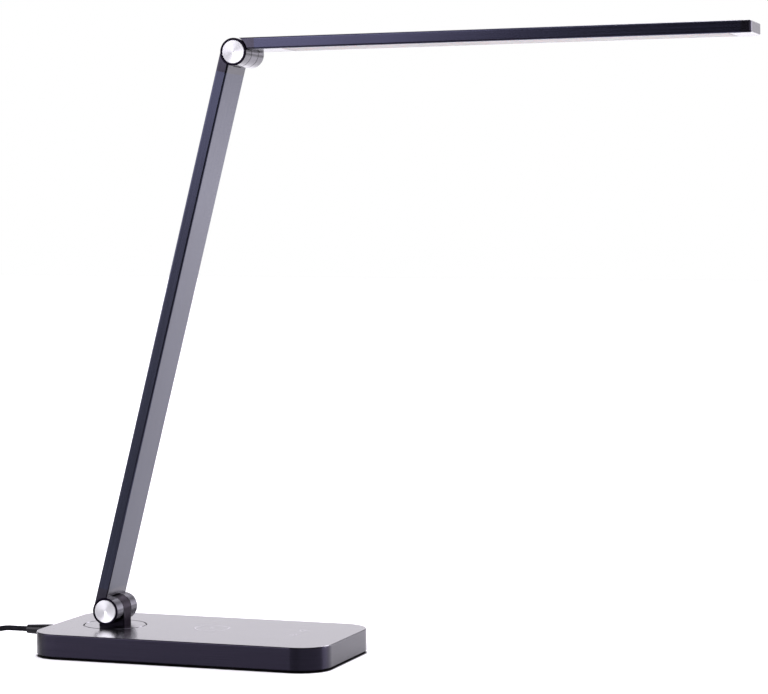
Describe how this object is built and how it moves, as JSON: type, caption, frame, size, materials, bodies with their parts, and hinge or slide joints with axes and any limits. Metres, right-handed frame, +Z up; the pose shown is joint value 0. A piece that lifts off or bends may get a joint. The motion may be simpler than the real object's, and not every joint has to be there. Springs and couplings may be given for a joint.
{
  "type": "led table lamp",
  "caption": "Folding LED table lamp: flat rectangular base on a turntable post, slim two-hinge arm and flat light bar, with supply cord and wall adapter.",
  "frame": {"origin": "middle of the base at the level of the table", "axes": "+X along the base towards the side that the light bar reaches over, +Z up, -Y is the side towards the camera of the picture"},
  "size_m": [0.6674, 0.114, 0.4304],
  "materials": {
    "gloss_black": "polished black top, finely brushed sides",
    "base_plastic": "fine grain",
    "foot_rubber": "matte",
    "steel": "plain, zinc plated",
    "post_metal": "satin black",
    "arm_aluminium": "dark grey anodised, lengthwise brushed",
    "head_aluminium": "dark grey anodised, lengthwise brushed",
    "cap_aluminium": "spun face",
    "slip_plastic": "natural, smooth",
    "opal": "opal white",
    "board": "solder-masked glass epoxy",
    "strip_board": "white masked metal core",
    "emitters": "clear over phosphor",
    "copper": "enamelled copper wire",
    "ferrite": "sintered, dull",
    "components": "moulded",
    "wire_sheath": "smooth PVC",
    "cord_sheath": "smooth PVC",
    "plug_plastic": "moulded PVC, fine grain",
    "plated": "nickel plated",
    "adapter_plastic": "fine grain",
    "tie": "woven"
  },
  "bodies": {
    "base": {"base_cover": "gloss_black", "base_plate": "base_plastic", "rubber_feet": "foot_rubber", "base_screws": "steel", "ballast_plate": "steel", "bearing_plate": "steel", "bearing_screws": "steel", "board_screws": "steel", "charging_coil": "copper", "ferrite_sheet": "ferrite", "main_board": "board", "board_parts": "components", "touch_board": "board", "supply_socket": "components", "base_wire": "wire_sheath", "cord_plug": "plug_plastic", "plug_barrel": "plated", "cord_lead": "cord_sheath", "cord_coil": "cord_sheath", "cord_tail": "cord_sheath", "coil_tie": "tie", "adapter_body": "adapter_plastic", "adapter_pins": "plated", "adapter_relief": "plug_plastic"},
    "turntable": {"hinge_post": "post_metal", "turntable_disc": "gloss_black", "friction_ring": "slip_plastic", "wave_washer": "steel", "hub_nut": "steel"},
    "arm": {"arm_lower_end": "arm_aluminium", "arm_tube": "arm_aluminium", "arm_upper_end": "arm_aluminium", "arm_wire": "wire_sheath", "lower_hinge_bolt": "steel", "lower_hinge_nut": "steel", "lower_disc_springs": "steel", "lower_hinge_washers": "slip_plastic", "lower_cap_near": "cap_aluminium", "lower_cap_far": "cap_aluminium", "upper_hinge_bolt": "steel", "upper_hinge_nut": "steel", "upper_disc_springs": "steel", "upper_hinge_washers": "slip_plastic", "upper_cap_near": "cap_aluminium", "upper_cap_far": "cap_aluminium"},
    "head": {"head_knuckle": "head_aluminium", "head_rail": "head_aluminium", "head_tip": "head_aluminium", "diffuser": "opal", "led_board": "strip_board", "leds": "emitters", "head_wire": "wire_sheath"}
  },
  "joints": [
    {"name": "base_swivel", "type": "hinge", "parent": "base", "child": "turntable", "pos_m": [-0.0663, 0, 0.0173], "axis": [0, 0, 1], "range_deg": [-90, 90]},
    {"name": "arm_hinge", "type": "hinge", "parent": "turntable", "child": "arm", "pos_m": [-0.0663, 0, 0.02875], "axis": [0, -1, 0], "range_deg": [-76, 44]},
    {"name": "head_hinge", "type": "hinge", "parent": "arm", "child": "head", "pos_m": [0.03047, 0, 0.41687], "axis": [0, -1, 0], "range_deg": [-104.65, 75.35]}
  ]
}
